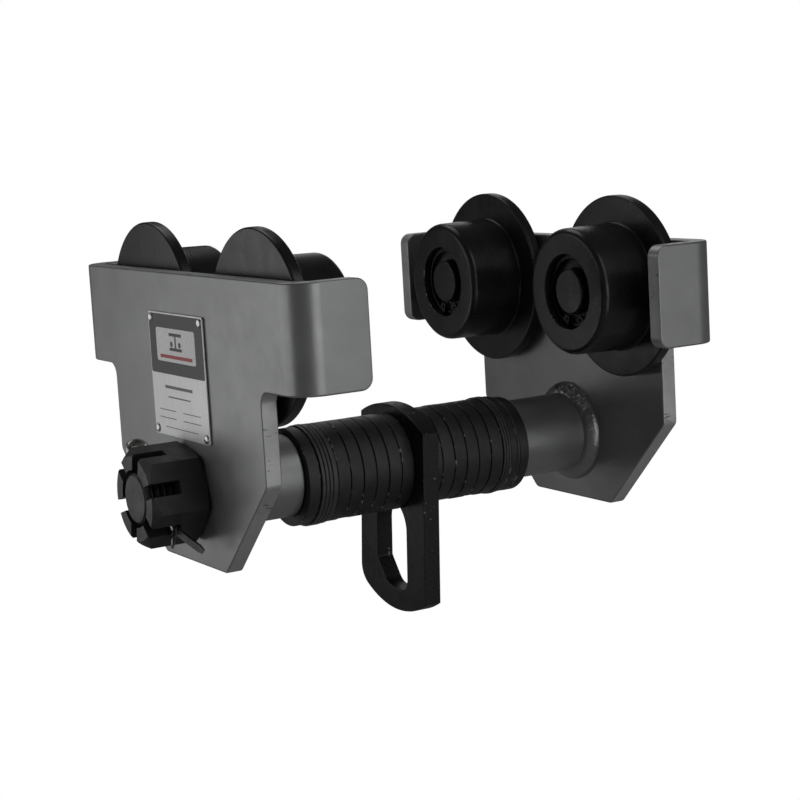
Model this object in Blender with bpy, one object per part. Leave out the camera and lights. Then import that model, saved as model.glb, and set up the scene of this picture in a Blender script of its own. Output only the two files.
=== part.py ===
"""Push beam trolley: two bent side plates on a load bar, four flanged wheels and a lug.

X runs along the load bar, Y along the beam, Z up.  The origin is half way between
the two plates and the two wheel rows, at the height where the treads run.
"""
import math
import bpy
import bmesh
from mathutils import Matrix, Vector

MM = 0.001

# load bar and its nuts
BAR_Z = -52.9 * MM            # bar axis below the running height
BAR_RADIUS = 15.0 * MM
THREAD_RADIUS = 14.7 * MM
BAR_END = 156.2 * MM
BAR_END_CHAMFER = 2.5 * MM    # length of the end chamfer
BAR_END_RADIUS = 12.1 * MM
BAR_THREAD_START = 118.0 * MM
NUT_ACROSS_FLATS = 46.0 * MM
NUT_LENGTH = 31.2 * MM
NUT_BORE = 15.0 * MM
NUT_SLOT_WIDTH = 7.0 * MM
NUT_SLOT_FLOOR = 14.7 * MM    # height of the slot floor above the plate
NUT_TIP_RADIUS = 22.3 * MM
NUT_TIP_RISE = 3.2 * MM       # length of the tip chamfer
NUT_TIP_SWELL = 0.4 * MM      # how far the chamfer cones clear the hexagon's corners
NUT_BASE_RISE = 1.9 * MM
NUT_BASE_SWELL = 1.2 * MM
NUT_TURN = math.radians(42.3)  # direction of the pinned slot, from +Y towards +Z
GAP = 0.3 * MM                # between pieces that touch
CUT_REACH = 30.0 * MM         # half length of a through cutter
CUT_WIDE = 80.0 * MM
CUT_CLEAR = 4.0 * MM          # run-out of a cutter past a face

# split pin
PIN_HEIGHT = 17.6 * MM        # pin axis above the plate face
PIN_RADIUS = 2.4 * MM
PIN_HOLE_RADIUS = 2.9 * MM
EYE_CENTRE = 31.3 * MM
EYE_INNER = 4.4 * MM
EYE_WRAP = 148                # degrees from the tip of the eye to each neck
EYE_NECK = 25.6 * MM
SHANK_END = -23.0 * MM
PIN_SPLIT = 0.09 * MM         # half the gap between the two halves
# bent legs as (along the pin, across the pin) in millimetres
LEG_TO_PLATE = [(-39.5, -8.6), (-34.5, -5.6), (-29.5, -2.7), (-26.5, -1.1), (-24.4, -0.3)]
LEG_OUTWARD = [(-24.4, 0.3), (-26.5, 1.0), (-29.6, 2.6), (-33.4, 4.7)]

# side plates
PLATE_OUTER = 125.0 * MM      # outer face from the middle
PLATE_THICK = 9.0 * MM
BAND_TOP = 59.6 * MM
BAND_BOTTOM = 6.3 * MM
BAND_HALF = 127.5 * MM        # outer faces of the bent wings
BEND_RADIUS = 15.0 * MM       # outer radius of the bends
WING_LENGTH = 25.0 * MM       # straight part of the wing
WING_CORNER = 6.0 * MM
TRUNK_HALF = 87.6 * MM
TRUNK_FILLET = 7.0 * MM
TRUNK_CORNER = 4.0 * MM
CHAMFER_Z = -40.8 * MM
FOOT_HALF = 36.6 * MM
FOOT_CORNER = 5.0 * MM
FOOT_Z = -91.0 * MM
BEND_STEPS = 6

# boss tube and weld
TUBE_RADIUS = 22.2 * MM
TUBE_BORE = 15.4 * MM
TUBE_CHAMFER = 0.8 * MM
STACK_HALF = 69.3 * MM        # outer end of the washer stack
WELD_LEG = 6.0 * MM
WELD_BELLY = (0.42, 0.55)     # middle of the bead's face as shares of the leg

# washers in millimetres: (pitch, radius, how far each hangs below the bar's axis),
# from the tube to the lug on the left, and from the lug to the tube on the right
LEFT_WASHERS = [(7.2, 26.3, 1.3), (2.3, 27.2, 1.5), (2.3, 27.3, 1.4), (2.2, 27.2, 1.5),
                (3.2, 27.0, 1.4), (7.85, 26.7, 1.2), (7.85, 26.5, 1.0), (7.85, 26.6, 1.15),
                (7.85, 26.5, 1.0), (7.85, 26.6, 1.1), (7.85, 26.5, 1.2)]
RIGHT_WASHERS = [(7.85, 26.5, 0.5), (7.85, 26.4, 0.6), (7.85, 26.5, 0.45), (7.85, 26.6, 0.7),
                 (7.85, 26.5, 0.55), (7.85, 26.7, 0.7), (1.6, 27.3, 0.6), (1.7, 27.4, 0.7),
                 (1.6, 27.3, 0.55), (4.7, 26.9, 0.6), (1.5, 26.7, 0.8), (6.1, 26.4, 1.2)]
WASHER_BORE = 15.9 * MM
WASHER_GAP = 0.22 * MM
WASHER_PLAY = 0.25 * MM       # least play of a hanging washer on the bar
LUG_PLAY = 0.05 * MM
HEAVY_PITCH = 4.0             # washers above this pitch are spacers, below it shims

# suspension lug
LUG_THICK = 9.9 * MM
LUG_HALF = 34.5 * MM
LUG_BORE = 15.6 * MM
LUG_SWING = math.radians(4.2)
LUG_TOP = 30.1 * MM
LUG_SHOULDER = 19.6 * MM
LUG_BOTTOM = 85.2 * MM
LUG_BOTTOM_RADIUS = 60.6 * MM
LUG_BOTTOM_SHIFT = 1.2 * MM
LUG_BLEND = 12.4 * MM         # rounded lower corner
SLOT_RADIUS = 15.5 * MM
SLOT_UPPER = 38.3 * MM        # upper arc centre below the bar axis
SLOT_LOWER = 57.0 * MM

# wheels, measured outwards from the middle
WHEEL_Y = 62.6 * MM
WHEEL_Z = 34.1 * MM
FLANGE_RADIUS = 49.3 * MM
FLANGE_BACK = 112.6 * MM
FLANGE_THICK = 6.6 * MM
FLANGE_CHAMFER = 1.0 * MM
TREAD_END = 73.6 * MM
TREAD_RADIUS_FLANGE = 34.4 * MM
TREAD_RADIUS_END = 33.9 * MM
TREAD_ROUND = 3.0 * MM
TREAD_ROUND_MID = 0.9 * MM    # middle of the rounded edge, in from both faces
WEB_BORE = 13.0 * MM
RECESS_RADIUS = 20.2 * MM
RECESS_DEPTH = 5.4 * MM
BEARING_RADIUS = 20.0 * MM
BEARING_WIDTH = 12.0 * MM
BEARING_BORE = 8.5 * MM       # shaft through the bearing
RACE_RADIUS = 12.0 * MM       # outer radius of the inner ring
SHIELD_OUTER = 17.3 * MM
SHIELD_INNER = 12.6 * MM
SHIELD_STEP = 1.2 * MM
AXLE_HEAD_RADIUS = 12.0 * MM
AXLE_HEAD_INSET = 1.2 * MM
AXLE_HEAD_CHAMFER = 0.7 * MM
AXLE_SEAT_RADIUS = 10.0 * MM
AXLE_SEAT_DEPTH = 5.5 * MM

# snap ring
CLIP_RADIUS = 19.85 * MM
CLIP_WIDTH = 2.3 * MM
CLIP_EAR = 5.6 * MM           # radial size of an ear
CLIP_THICK = 1.6 * MM
CLIP_LIFT = 1.9 * MM          # outer face of the ring ahead of the bearing
CLIP_OPEN = 17.0              # half of the gap, degrees
CLIP_EAR_SPAN = 15.0
CLIP_EAR_BLEND = 4.0

# nameplate
NAME_WIDTH = 66.0 * MM
NAME_HEIGHT = 65.0 * MM
NAME_THICK = 0.9 * MM
NAME_CORNER = 1.8 * MM
NAME_LIFT = 0.25 * MM         # between the nameplate and the side plate
NAME_Y = 2.4 * MM
NAME_Z = 6.3 * MM
RIVET_Y = 29.6 * MM
RIVET_Z = 29.4 * MM
RIVET_SHANK = 1.1 * MM
RIVET_HOLE = 1.4 * MM
RIVET_LENGTH = 4.0 * MM
# dome as (height over the nameplate, radius) in millimetres
RIVET_DOME = [(1.35, 0.0), (1.1, 1.3), (0.55, 2.15), (0.15, 2.5), (0.15, 1.1)]


def clear_scene():
    for old in list(bpy.data.objects):
        bpy.data.objects.remove(old, do_unlink=True)


def make_material(name, colour, metallic, roughness):
    material = bpy.data.materials.new(name)
    material.use_nodes = True
    shader = material.node_tree.nodes["Principled BSDF"]
    shader.inputs["Base Color"].default_value = (*colour, 1.0)
    shader.inputs["Metallic"].default_value = metallic
    shader.inputs["Roughness"].default_value = roughness
    material.diffuse_color = (*colour, 1.0)
    return material


def make_object(name, bm, material, place=None):
    bmesh.ops.remove_doubles(bm, verts=bm.verts, dist=1e-6)
    bmesh.ops.recalc_face_normals(bm, faces=bm.faces)
    if bm.calc_volume(signed=True) < 0:
        bmesh.ops.reverse_faces(bm, faces=bm.faces)
    mesh = bpy.data.meshes.new(name)
    bm.to_mesh(mesh)
    bm.free()
    mesh.shade_smooth()
    mesh.set_sharp_from_angle(angle=math.radians(32))
    mesh.materials.append(material)
    item = bpy.data.objects.new(name, mesh)
    bpy.context.scene.collection.objects.link(item)
    if place is not None:
        item.matrix_world = place
    return item


def turned(profile, segments, closed=True):
    """Profile of (x, radius) points turned about the X axis."""
    bm = bmesh.new()
    verts = [bm.verts.new((x, 0.0, r)) for x, r in profile]
    pairs = list(zip(verts, verts[1:]))
    if closed:
        pairs.append((verts[-1], verts[0]))
    edges = [bm.edges.new(pair) for pair in pairs]
    bmesh.ops.spin(bm, geom=verts + edges, cent=(0, 0, 0), axis=(1, 0, 0),
                   angle=2 * math.pi, steps=segments, use_merge=True)
    return bm


def ring(x0, x1, inner, outer, segments):
    return turned([(x0, inner), (x0, outer), (x1, outer), (x1, inner)], segments)


def extruded(points, depth):
    """Outline of (y, z) points as a slab from x=0 to x=depth."""
    bm = bmesh.new()
    face = bm.faces.new([bm.verts.new((0.0, y, z)) for y, z in points])
    result = bmesh.ops.extrude_face_region(bm, geom=[face])
    moved = [v for v in result["geom"] if isinstance(v, bmesh.types.BMVert)]
    bmesh.ops.translate(bm, verts=moved, vec=(depth, 0, 0))
    return bm


def rounded_outline(corners, steps=4):
    """Corners of (a, b, radius), each replaced by a tangent arc."""
    out = []
    count = len(corners)
    for i, (a, b, radius) in enumerate(corners):
        here = Vector((a, b))
        if radius <= 0:
            out.append(here)
            continue
        before = (Vector(corners[i - 1][:2]) - here).normalized()
        after = (Vector(corners[(i + 1) % count][:2]) - here).normalized()
        half = math.acos(max(-1.0, min(1.0, before.dot(after)))) / 2
        reach = radius / math.tan(half)
        centre = here + (before + after).normalized() * radius / math.sin(half)
        start = here + before * reach - centre
        end = here + after * reach - centre
        turn = math.atan2(start.x * end.y - start.y * end.x, start.dot(end))
        for k in range(steps + 1):
            angle = turn * k / steps
            c, s = math.cos(angle), math.sin(angle)
            out.append(centre + Vector((start.x * c - start.y * s, start.x * s + start.y * c)))
    return [(p.x, p.y) for p in out]


def through_cutter(radius, segments):
    return turned([(-CUT_REACH, 0), (-CUT_REACH, radius), (CUT_REACH, radius), (CUT_REACH, 0)],
                  segments, False)


def cut(item, bm, name, place=None, operation="DIFFERENCE"):
    """Boolean of the item with a hidden cutter."""
    cutter = make_object(name, bm, item.data.materials[0], place)
    cutter.hide_render = True
    cutter.display_type = "WIRE"
    modifier = item.modifiers.new(name, "BOOLEAN")
    modifier.operation = operation
    modifier.solver = "EXACT"
    modifier.object = cutter
    return cutter


def plate_outline():
    bend_length = (BEND_RADIUS - PLATE_THICK / 2) * math.pi / 2
    end = BAND_HALF - BEND_RADIUS + bend_length + WING_LENGTH
    half = [(end, BAND_TOP, WING_CORNER), (end, BAND_BOTTOM, WING_CORNER),
            (TRUNK_HALF, BAND_BOTTOM, TRUNK_FILLET), (TRUNK_HALF, CHAMFER_Z, TRUNK_CORNER),
            (FOOT_HALF, FOOT_Z, FOOT_CORNER)]
    corners = half + [(-a, b, r) for a, b, r in reversed(half)]
    return rounded_outline(corners), bend_length


def bend_point(along, depth, height, side, bend_length):
    """Flat plate coordinates folded into the channel with its two wings."""
    start = BAND_HALF - BEND_RADIUS
    sign = 1.0 if along >= 0 else -1.0
    reach = abs(along)
    if reach <= start:
        return Vector((side * (PLATE_OUTER - depth), along, height))
    if reach < start + bend_length:
        angle = (reach - start) / bend_length * math.pi / 2
        radius = BEND_RADIUS - depth
        return Vector((side * (PLATE_OUTER - BEND_RADIUS + radius * math.cos(angle)),
                       sign * (start + radius * math.sin(angle)), height))
    past = reach - start - bend_length
    return Vector((side * (PLATE_OUTER - BEND_RADIUS - past), sign * (BAND_HALF - depth), height))


def side_plate(name, side, material):
    outline, bend_length = plate_outline()
    bm = extruded(outline, PLATE_THICK)
    for sign in (-1, 1):
        for k in range(BEND_STEPS + 1):
            station = sign * (BAND_HALF - BEND_RADIUS + bend_length * k / BEND_STEPS)
            geom = bm.verts[:] + bm.edges[:] + bm.faces[:]
            bmesh.ops.bisect_plane(bm, geom=geom, dist=1e-7, plane_co=(0, station, 0),
                                   plane_no=(0, 1, 0))
    for v in bm.verts:
        v.co = bend_point(v.co.y, v.co.x, v.co.z, side, bend_length)
    plate = make_object(name, bm, material)
    inner = PLATE_OUTER - PLATE_THICK
    bore = through_cutter(TUBE_BORE, 32)
    cut(plate, bore, name + "_bar_hole", Matrix.Translation((side * PLATE_OUTER, 0, BAR_Z)))
    for y in (-WHEEL_Y, WHEEL_Y):
        seat = turned([(-CUT_CLEAR, 0), (-CUT_CLEAR, AXLE_SEAT_RADIUS + GAP),
                       (AXLE_SEAT_DEPTH + GAP, AXLE_SEAT_RADIUS + GAP),
                       (AXLE_SEAT_DEPTH + GAP, 0)], 20, False)
        turn = Matrix.Rotation(math.pi, 4, "Z") if side < 0 else Matrix.Identity(4)
        cut(plate, seat, name + "_axle_seat", Matrix.Translation((side * inner, y, WHEEL_Z)) @ turn)
    return plate


def boss_tube(name, side, material):
    near = STACK_HALF + GAP
    far = PLATE_OUTER - PLATE_THICK - GAP
    bm = turned([(near, TUBE_BORE), (near, TUBE_RADIUS - TUBE_CHAMFER), (near + TUBE_CHAMFER, TUBE_RADIUS),
                 (far, TUBE_RADIUS), (far, TUBE_BORE)], 24)
    if side < 0:
        bmesh.ops.scale(bm, verts=bm.verts, vec=(-1, 1, 1))
    return make_object(name, bm, material, Matrix.Translation((0, 0, BAR_Z)))


def weld_bead(name, side, material):
    wall = PLATE_OUTER - PLATE_THICK - GAP
    inner = TUBE_RADIUS + GAP
    belly = (wall - WELD_BELLY[0] * WELD_LEG, inner + WELD_BELLY[1] * WELD_LEG)
    bm = turned([(wall, inner), (wall, inner + WELD_LEG), belly, (wall - WELD_LEG, inner)], 24)
    if side < 0:
        bmesh.ops.scale(bm, verts=bm.verts, vec=(-1, 1, 1))
    return make_object(name, bm, material, Matrix.Translation((0, 0, BAR_Z)))


def load_bar(name, material):
    half = [(BAR_THREAD_START, BAR_RADIUS), (BAR_THREAD_START, THREAD_RADIUS),
            (BAR_END - BAR_END_CHAMFER, THREAD_RADIUS), (BAR_END, BAR_END_RADIUS), (BAR_END, 0.0)]
    profile = [(-x, r) for x, r in reversed(half)] + half
    bar = make_object(name, turned(profile, 24, False), material, Matrix.Translation((0, 0, BAR_Z)))
    for side in (-1, 1):
        hole = through_cutter(PIN_HOLE_RADIUS, 16)
        place = Matrix.Translation((side * (PLATE_OUTER + PIN_HEIGHT), 0, BAR_Z))
        place = place @ Matrix.Rotation(NUT_TURN, 4, "X") @ Matrix.Rotation(math.pi / 2, 4, "Z")
        cut(bar, hole, name + "_pin_hole", place)
    return bar


def slotted_nut(name, side, material):
    corner = NUT_ACROSS_FLATS / math.sqrt(3)
    points = [(corner * math.cos(NUT_TURN + math.radians(30 + 60 * k)),
               corner * math.sin(NUT_TURN + math.radians(30 + 60 * k))) for k in range(6)]
    bm = extruded(points, NUT_LENGTH)
    if side < 0:
        bmesh.ops.scale(bm, verts=bm.verts, vec=(-1, 1, 1))
    place = Matrix.Translation((side * (PLATE_OUTER + GAP), 0, BAR_Z))
    nut = make_object(name, bm, material, place)
    slope = [(0.0, NUT_BORE), (0.0, NUT_TIP_RADIUS), (NUT_BASE_RISE, corner + NUT_BASE_SWELL),
             (NUT_LENGTH - NUT_TIP_RISE, corner + NUT_TIP_SWELL), (NUT_LENGTH, NUT_TIP_RADIUS),
             (NUT_LENGTH, NUT_BORE)]
    cut(nut, turned([(side * x, r) for x, r in slope], 32), name + "_round", place, "INTERSECT")
    for k in range(3):
        slot = bmesh.new()
        bmesh.ops.create_cube(slot, size=1.0)
        low = NUT_SLOT_FLOOR
        high = NUT_LENGTH + CUT_CLEAR
        bmesh.ops.scale(slot, verts=slot.verts, vec=(high - low, CUT_WIDE, NUT_SLOT_WIDTH))
        bmesh.ops.translate(slot, verts=slot.verts, vec=(side * (high + low) / 2, 0, 0))
        turn = Matrix.Rotation(NUT_TURN + math.radians(60 * k), 4, "X")
        cut(nut, slot, name + "_slot", place @ turn)
    return nut


def split_pin(name, side, material):
    """Half-round wire folded on itself: leg, shank, eye, shank, leg."""
    path = [(u * MM, v * MM) for u, v in LEG_TO_PLATE]
    path += [(SHANK_END, -PIN_SPLIT), (EYE_NECK, -PIN_SPLIT)]
    path += arc((EYE_CENTRE, 0), EYE_INNER, -EYE_WRAP, EYE_WRAP, 12)
    path += [(EYE_NECK, PIN_SPLIT), (SHANK_END, PIN_SPLIT)]
    path += [(u * MM, v * MM) for u, v in LEG_OUTWARD]
    section = [(-PIN_RADIUS, 0.0)]
    section += [(-PIN_RADIUS * math.cos(math.radians(a)), PIN_RADIUS * math.sin(math.radians(a)))
                for a in (40, 90, 140)]
    section += [(PIN_RADIUS, 0.0)]
    bm = bmesh.new()
    loops = []
    for i, (u, v) in enumerate(path):
        a = Vector(path[max(i - 1, 0)])
        b = Vector(path[min(i + 1, len(path) - 1)])
        here = Vector((u, v))
        first = (here - a).normalized() if i > 0 else (b - here).normalized()
        second = (b - here).normalized() if i < len(path) - 1 else first
        run = (first + second).normalized()
        out = Vector((run.y, -run.x)) / max(0.75, run.dot(first))
        loops.append([bm.verts.new((side * (v + out.y * n), u + out.x * n, w)) for w, n in section])
    for one, two in zip(loops, loops[1:]):
        for k in range(len(section)):
            j = (k + 1) % len(section)
            bm.faces.new((one[k], one[j], two[j], two[k]))
    bm.faces.new(loops[0])
    bm.faces.new(loops[-1])
    place = Matrix.Translation((side * (PLATE_OUTER + PIN_HEIGHT), 0, BAR_Z))
    return make_object(name, bm, material, place @ Matrix.Rotation(NUT_TURN, 4, "X"))


def arc(centre, radius, start, end, steps):
    """Points on an arc between two angles in degrees."""
    return [(centre[0] + radius * math.cos(math.radians(start + (end - start) * k / steps)),
             centre[1] + radius * math.sin(math.radians(start + (end - start) * k / steps)))
            for k in range(steps + 1)]


def lug_outline():
    drop = (LUG_TOP ** 2 - LUG_HALF ** 2 - LUG_SHOULDER ** 2) / (2 * (LUG_TOP - LUG_SHOULDER))
    top_radius = LUG_TOP - drop
    spread = math.degrees(math.asin(LUG_HALF / top_radius))
    points = arc((0, drop), top_radius, 90 - spread, 90 + spread, 14)
    centre = (LUG_BOTTOM_SHIFT, -(LUG_BOTTOM - LUG_BOTTOM_RADIUS))
    hub_y = -(LUG_HALF - LUG_BLEND)
    hub_z = centre[1] - math.sqrt((LUG_BOTTOM_RADIUS - LUG_BLEND) ** 2 - (hub_y - centre[0]) ** 2)
    meet = math.degrees(math.atan2(hub_z - centre[1], hub_y - centre[0])) + 360
    points += arc((hub_y, hub_z), LUG_BLEND, 180, meet, 5)
    last = math.degrees(math.acos((LUG_HALF - centre[0]) / LUG_BOTTOM_RADIUS))
    points += arc(centre, LUG_BOTTOM_RADIUS, meet, 360 - last, 9)[1:]
    return points


def suspension_lug(name, material):
    # outline drawn with the crisp lower corner on its +y side, then turned round
    points = [(-y, z) for y, z in lug_outline()]
    bm = extruded(points, LUG_THICK)
    bmesh.ops.translate(bm, verts=bm.verts, vec=(-LUG_THICK / 2, 0, 0))
    place = Matrix.Translation((0, 0, BAR_Z)) @ Matrix.Rotation(LUG_SWING, 4, "X")
    lug = make_object(name, bm, material, place)
    cut(lug, through_cutter(LUG_BORE, 28), name + "_bar_hole", place)
    slot_points = arc((0, -SLOT_UPPER), SLOT_RADIUS, 0, 180, 12)
    slot_points += arc((0, -SLOT_LOWER), SLOT_RADIUS, 180, 360, 12)
    slot = extruded(slot_points, 2 * CUT_REACH)
    bmesh.ops.translate(slot, verts=slot.verts, vec=(-CUT_REACH, 0, 0))
    cut(lug, slot, name + "_slot", place)
    return lug


def washer_stack(thick, thin):
    """Washers between each tube and the lug, each hanging a little low on the bar."""
    def lay(start, washers, label):
        x = start
        heavy = fine = 0
        for pitch, radius, sag in washers:
            width = pitch * MM
            if pitch > HEAVY_PITCH:
                heavy += 1
                name, material = "spacer_%s_%d" % (label, heavy), thick
            else:
                fine += 1
                name, material = "shim_%s_%d" % (label, fine), thin
            bore = max(WASHER_BORE, BAR_RADIUS + sag * MM + WASHER_PLAY)
            bm = ring(WASHER_GAP / 2, width - WASHER_GAP / 2, bore, radius * MM, 20)
            make_object(name, bm, material, Matrix.Translation((x, 0, BAR_Z - sag * MM)))
            x += width
    lay(-STACK_HALF, LEFT_WASHERS, "left")
    lay(LUG_THICK / 2 + LUG_PLAY, RIGHT_WASHERS, "right")


def wheel_set(label, side, y, paint, steel, dark_steel):
    """Flanged wheel on its bearing and axle; X measured outwards from the trolley's middle."""
    def sided(bm):
        if side < 0:
            bmesh.ops.scale(bm, verts=bm.verts, vec=(-1, 1, 1))
        return bm
    hub = Matrix.Translation((0, y, WHEEL_Z))
    front = FLANGE_BACK - FLANGE_THICK
    seat = TREAD_END + RECESS_DEPTH
    behind = seat + BEARING_WIDTH + GAP
    profile = [(TREAD_END, RECESS_RADIUS), (TREAD_END, TREAD_RADIUS_END - TREAD_ROUND),
               (TREAD_END + TREAD_ROUND_MID, TREAD_RADIUS_END - TREAD_ROUND_MID),
               (TREAD_END + TREAD_ROUND, TREAD_RADIUS_END),
               (front, TREAD_RADIUS_FLANGE), (front, FLANGE_RADIUS - FLANGE_CHAMFER),
               (front + FLANGE_CHAMFER, FLANGE_RADIUS), (FLANGE_BACK - FLANGE_CHAMFER, FLANGE_RADIUS),
               (FLANGE_BACK, FLANGE_RADIUS - FLANGE_CHAMFER), (FLANGE_BACK, WEB_BORE),
               (behind, WEB_BORE), (behind, RECESS_RADIUS)]
    make_object("wheel_" + label, sided(turned(profile, 32)), paint, hub)
    shield = seat + SHIELD_STEP
    outer = [(seat, BEARING_RADIUS), (seat, SHIELD_OUTER), (shield, SHIELD_OUTER), (shield, SHIELD_INNER),
             (seat + BEARING_WIDTH, SHIELD_INNER), (seat + BEARING_WIDTH, BEARING_RADIUS)]
    make_object("bearing_outer_" + label, sided(turned(outer, 20)), steel, hub)
    inner = ring(seat, seat + BEARING_WIDTH, BEARING_BORE + GAP, RACE_RADIUS, 20)
    make_object("bearing_inner_" + label, sided(inner), steel, hub)
    snap = snap_ring()
    bmesh.ops.translate(snap, verts=snap.verts, vec=(seat - CLIP_LIFT, 0, 0))
    make_object("snap_ring_" + label, sided(snap), dark_steel, hub)
    tail = PLATE_OUTER - PLATE_THICK + AXLE_SEAT_DEPTH
    head = TREAD_END + AXLE_HEAD_INSET
    axle = [(head, 0), (head, AXLE_HEAD_RADIUS - AXLE_HEAD_CHAMFER),
            (head + AXLE_HEAD_CHAMFER, AXLE_HEAD_RADIUS), (seat - GAP, AXLE_HEAD_RADIUS),
            (seat - GAP, BEARING_BORE), (behind, BEARING_BORE), (behind, AXLE_SEAT_RADIUS),
            (tail, AXLE_SEAT_RADIUS), (tail, 0)]
    make_object("axle_" + label, sided(turned(axle, 20, False)), steel, hub)


def snap_ring():
    """Internal ring, open at the bottom, with an ear each side of the gap."""
    head = -90 + CLIP_OPEN
    tail = 270 - CLIP_OPEN
    inset = CLIP_EAR_SPAN + CLIP_EAR_BLEND
    points = arc((0, 0), CLIP_RADIUS, head, tail, 20)
    points += arc((0, 0), CLIP_RADIUS - CLIP_EAR, tail, tail - CLIP_EAR_SPAN, 1)
    points += arc((0, 0), CLIP_RADIUS - CLIP_WIDTH, tail - inset, head + inset, 16)
    points += arc((0, 0), CLIP_RADIUS - CLIP_EAR, head + CLIP_EAR_SPAN, head, 1)
    return extruded(points, CLIP_THICK)


def nameplate(name, material):
    half_y, half_z = NAME_WIDTH / 2, NAME_HEIGHT / 2
    outline = rounded_outline([(half_y, half_z, NAME_CORNER), (half_y, -half_z, NAME_CORNER),
                               (-half_y, -half_z, NAME_CORNER), (-half_y, half_z, NAME_CORNER)], 3)
    place = Matrix.Translation((-PLATE_OUTER - NAME_LIFT, NAME_Y, NAME_Z))
    return make_object(name, extruded(outline, -NAME_THICK), material, place)


def rivets(plates, material):
    """Dome drive rivets through the nameplate into blind holes in the side plate."""
    count = 0
    face = -PLATE_OUTER - NAME_LIFT - NAME_THICK
    for z in (NAME_Z - RIVET_Z, NAME_Z + RIVET_Z):
        for y in (NAME_Y - RIVET_Y, NAME_Y + RIVET_Y):
            count += 1
            place = Matrix.Translation((face, y, z))
            dome = [(-height * MM, radius * MM) for height, radius in RIVET_DOME]
            dome += [(RIVET_LENGTH, RIVET_SHANK), (RIVET_LENGTH, 0)]
            make_object("rivet_%d" % count, turned(dome, 14, False), material, place)
            for plate in plates:
                end = RIVET_LENGTH + GAP
                hole = turned([(-CUT_CLEAR, 0), (-CUT_CLEAR, RIVET_HOLE), (end, RIVET_HOLE), (end, 0)],
                              12, False)
                cut(plate, hole, plate.name + "_rivet_hole", place)


def build():
    clear_scene()
    grey = make_material("grey_paint", (0.13, 0.135, 0.132), 0.0, 0.38)
    black = make_material("black_paint", (0.016, 0.017, 0.017), 0.0, 0.36)
    oxide = make_material("black_oxide", (0.022, 0.023, 0.023), 0.6, 0.42)
    shim = make_material("shim_steel", (0.035, 0.035, 0.034), 0.7, 0.4)
    steel = make_material("bearing_steel", (0.30, 0.30, 0.29), 1.0, 0.34)
    wire = make_material("pin_steel", (0.32, 0.31, 0.29), 1.0, 0.4)
    rivet = make_material("rivet_steel", (0.62, 0.62, 0.60), 1.0, 0.28)
    label = make_material("nameplate_metal", (0.55, 0.55, 0.53), 0.8, 0.4)

    sides = {"left": -1, "right": 1}
    plates = {}
    for word, side in sides.items():
        plates[word] = side_plate("side_plate_" + word, side, grey)
        boss_tube("boss_tube_" + word, side, grey)
        weld_bead("weld_bead_" + word, side, grey)
        slotted_nut("slotted_nut_" + word, side, oxide)
        split_pin("split_pin_" + word, side, wire)
        for end, y in (("front", -WHEEL_Y), ("back", WHEEL_Y)):
            wheel_set(word + "_" + end, side, y, black, steel, oxide)
    load_bar("load_bar", oxide)
    suspension_lug("suspension_lug", black)
    washer_stack(oxide, shim)
    label_plate = nameplate("nameplate", label)
    rivets([label_plate, plates["left"]], rivet)


build()
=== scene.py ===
import math
import bpy
import bmesh
from mathutils import Matrix, Vector, noise


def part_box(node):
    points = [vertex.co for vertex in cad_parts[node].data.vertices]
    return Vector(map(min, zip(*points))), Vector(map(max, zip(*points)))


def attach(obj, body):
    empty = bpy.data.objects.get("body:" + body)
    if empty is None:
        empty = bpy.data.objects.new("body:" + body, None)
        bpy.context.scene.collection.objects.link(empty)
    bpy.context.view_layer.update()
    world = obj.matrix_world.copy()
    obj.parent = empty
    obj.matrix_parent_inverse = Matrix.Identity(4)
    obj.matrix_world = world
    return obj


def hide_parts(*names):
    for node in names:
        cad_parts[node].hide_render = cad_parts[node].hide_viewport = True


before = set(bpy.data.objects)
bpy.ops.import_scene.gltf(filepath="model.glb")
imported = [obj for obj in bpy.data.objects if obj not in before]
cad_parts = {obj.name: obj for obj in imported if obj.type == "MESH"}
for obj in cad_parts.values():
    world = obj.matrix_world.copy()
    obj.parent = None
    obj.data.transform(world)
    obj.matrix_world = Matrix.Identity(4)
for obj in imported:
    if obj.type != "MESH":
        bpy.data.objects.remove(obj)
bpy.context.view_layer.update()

# Push beam trolley.  X runs along the load bar, Y along the beam, Z up, in metres.
MM = 0.001
LEFT, RIGHT = -1, 1
SIDES = {"left": LEFT, "right": RIGHT}

# the load bar and its thread
BAR_LOW, BAR_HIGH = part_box("load_bar")
BAR_Z = (BAR_LOW.z + BAR_HIGH.z) / 2
BAR_END = BAR_HIGH.x
BAR_RADIUS = (BAR_HIGH.z - BAR_LOW.z) / 2
THREAD_ROOT = 13.1 * MM
THREAD_CREST = 14.75 * MM
THREAD_PITCH = 3.5 * MM
BAR_THREAD_START = 118.0 * MM

# the side plates, bent at both ends into wings
PLATE_LOW, PLATE_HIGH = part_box("side_plate_right")
PLATE_OUTER = PLATE_HIGH.x
PLATE_THICK = 9.0 * MM
PLATE_INNER = PLATE_OUTER - PLATE_THICK
BEND_RADIUS = 15.0 * MM
BEND_STEPS = 16
BAND_HALF = PLATE_HIGH.y
BAND_TOP = PLATE_HIGH.z
BAND_BOTTOM = 6.3 * MM
WING_LENGTH = PLATE_OUTER - PLATE_LOW.x - BEND_RADIUS
WING_CORNER = 6.0 * MM
TRUNK_HALF = 87.6 * MM
TRUNK_FILLET = 7.0 * MM
TRUNK_CORNER = 4.0 * MM
CHAMFER_Z = -40.8 * MM
FOOT_HALF = 36.6 * MM
FOOT_CORNER = 5.0 * MM
FOOT_Z = PLATE_LOW.z
PLATE_EDGE = 0.9 * MM         # rounding of the plate's cut edges

# the boss tubes, and the weld round each
TUBE_RADIUS = 22.2 * MM
TUBE_BORE = 15.4 * MM
WELD_LEG = 6.3 * MM
WELD_STOP = 118.0             # where the run stops, in degrees from +Y towards +Z
WELD_STOP_SPREAD = 34.0
WELD_RIPPLE = 4.5             # degrees from one ripple to the next

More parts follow.
